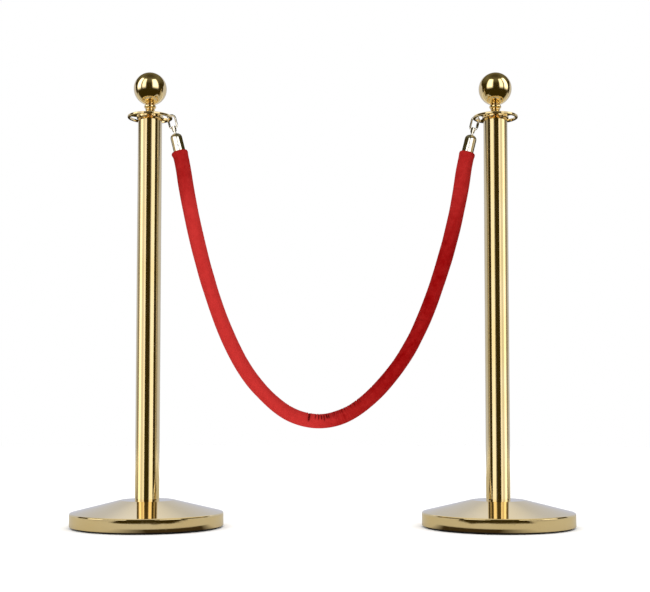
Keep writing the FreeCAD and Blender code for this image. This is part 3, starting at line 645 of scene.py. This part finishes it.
def panel(name, centre, target, width, height, radiance, receivers, colour=(1, 1, 1),
          margins=None):
    """A soft rectangular light, for the receivers only and not seen by the camera."""
    data = bpy.data.lights.new(name, "AREA")
    data.shape = "RECTANGLE"
    data.size = width
    data.size_y = height
    data.color = colour
    data.energy = radiance * math.pi * width * height
    if margins:
        soften(data, margins)
    light = bpy.data.objects.new(name, data)
    bpy.context.scene.collection.objects.link(light)
    light.location = centre
    light.rotation_euler = (Vector(target) - Vector(centre)).to_track_quat("-Z", "Y").to_euler()
    light.visible_camera = False
    group = bpy.data.collections.new(name + "_lights")
    for obj in receivers:
        group.objects.link(obj)
    light.light_linking.receiver_collection = group


# Each post's own panels: name, directions seen from the post, in degrees from straight ahead
# (towards the camera), positive towards the middle of the set, and brightness.
POST_PANELS = [
    ("outer", -86, -60, 1.45),
    ("outer_dim", -60, -37, 0.76),
    ("slim", -37, -22, 1.10),
    ("inner_soft", 20, 27, 0.40),
    ("inner", 27, 59, 1.15),
]
RIM_PANELS = [("rim", -108, -86, 0.28), ("inner_rim", 84, 110, 0.30)]
HEAD_PANELS = [
    ("outer", -94, -54, 2.5),
    ("slim", -54, -18, 1.7),
    ("inner", 18, 72, 2.0),
]
END_PANELS = [
    ("cap_outer", -78, 2, 1.6),
    ("cap_inner", 13, 90, 1.6),
]
PANEL_DISTANCE = 2.4

# Heights of the panels' feet and tops.
HEAD_SPAN, RING_SPAN, TUBE_SPAN = (0.45, 5.0), (0.60, 2.6), (-0.4, 2.2)
BASE_SPAN, END_SPAN = (0.02, 1.3), (-0.2, 1.9)
HEAD_MARGINS = (0.30, 0.22)
END_X = 0.315                      # the rope's ends, either side of the middle
WALL_Y, WALL_WIDTH = 1.8, 9.5
COOL, COOLER, WARM = (0.80, 0.84, 1.0), (0.71, 0.78, 1.0), (1.0, 0.98, 0.95)
WALL_RADIANCE, HIGH_WALL_RADIANCE = 0.75, 0.70
CEILING_PLACE, CEILING_TARGET, CEILING_SIZE = (0, 0.8, 3.2), (0, 0.8, 0), 10.5
CEILING_RADIANCE, CEILING_MARGINS = 0.62, (0.35, 0.35)
HEAD = ("finial_ball", "finial_neck", "finial_stud", "ring_washer")


def panel_row(prefix, panels, sign, x, span, receivers, margins=None):
    """Upright panels that stand round one place."""
    foot, top = span
    height = (foot + top) / 2
    for label, begin, end, radiance in panels:
        aim = math.radians((begin + end) / 2) * -sign
        half = math.radians(abs(end - begin) / 2)
        centre = Vector((x + PANEL_DISTANCE * math.sin(aim), -PANEL_DISTANCE * math.cos(aim),
                         height))
        panel(f"{prefix}_{label}", centre, (x, 0, height), 2 * PANEL_DISTANCE * math.tan(half),
              top - foot, radiance, receivers, margins=margins)


def wall(name, foot, top, radiance, receivers, colour):
    """A wide panel behind the set."""
    height = (foot + top) / 2
    panel(name, (0, WALL_Y, height), (0, 0, height), WALL_WIDTH, top - foot, radiance, receivers,
          colour)


def post_lights():
    """The panels and walls that each post mirrors."""
    for side, sign in SIDES.items():
        own = {name[len(side) + 1:]: obj for name, obj in nodes.items() if name.startswith(side)}
        head = [own[name] for name in HEAD]
        ring = [own["ring_plate"]]
        ends = [own[name] for name in END_PIECES]
        base = [own["base_cover"]]
        elsewhere = HEAD + END_PIECES + ("ring_plate", "base_cover")
        lower = [obj for name, obj in own.items() if name not in elsewhere]
        x = sign * POST_X
        panel_row(side + "_head", HEAD_PANELS, sign, x, HEAD_SPAN, head, HEAD_MARGINS)
        panel_row(side + "_ring", POST_PANELS, sign, x, RING_SPAN, ring)
        panel_row(side + "_tube", POST_PANELS + RIM_PANELS, sign, x, TUBE_SPAN, lower)
        panel_row(side + "_base", POST_PANELS, sign, x, BASE_SPAN, base)
        panel_row(side + "_end", END_PANELS, sign, sign * END_X, END_SPAN, ends)
        wall(side + "_back_wall", 0.0, 1.6, WALL_RADIANCE, lower + base, COOLER)
        wall(side + "_high_wall", 0.0, 2.3, HIGH_WALL_RADIANCE, head, COOL)
        wall(side + "_ring_wall", 0.95, 2.45, HIGH_WALL_RADIANCE, ring, COOL)


def other_lights(floor):
    """The ceiling over the spun plates, and the rope's and the floor's own lights."""
    spun = [nodes[f"{side}_{piece}"] for side in SIDES for piece in ("base_cover", "ring_plate")]
    panel("ceiling", CEILING_PLACE, CEILING_TARGET, CEILING_SIZE, CEILING_SIZE, CEILING_RADIANCE,
          spun, WARM, CEILING_MARGINS)
    panel("rope_front", (0, -2.6, 0.9), (0, 0, 0.5), 2.4, 1.8, 1.25, [rope])
    panel("rope_left", (-1.9, -1.9, 1.2), (0, 0, 0.45), 1.2, 1.6, 1.4, [rope])
    panel("floor_top", (0, 0, 3.5), (0, 0, 0), 16, 16, 0.80, [floor])


floor = make_floor()
make_world()
post_lights()
other_lights(floor)
for piece in [rope] + on_rope:     # the posts don't mirror the rope
    piece.visible_glossy = False
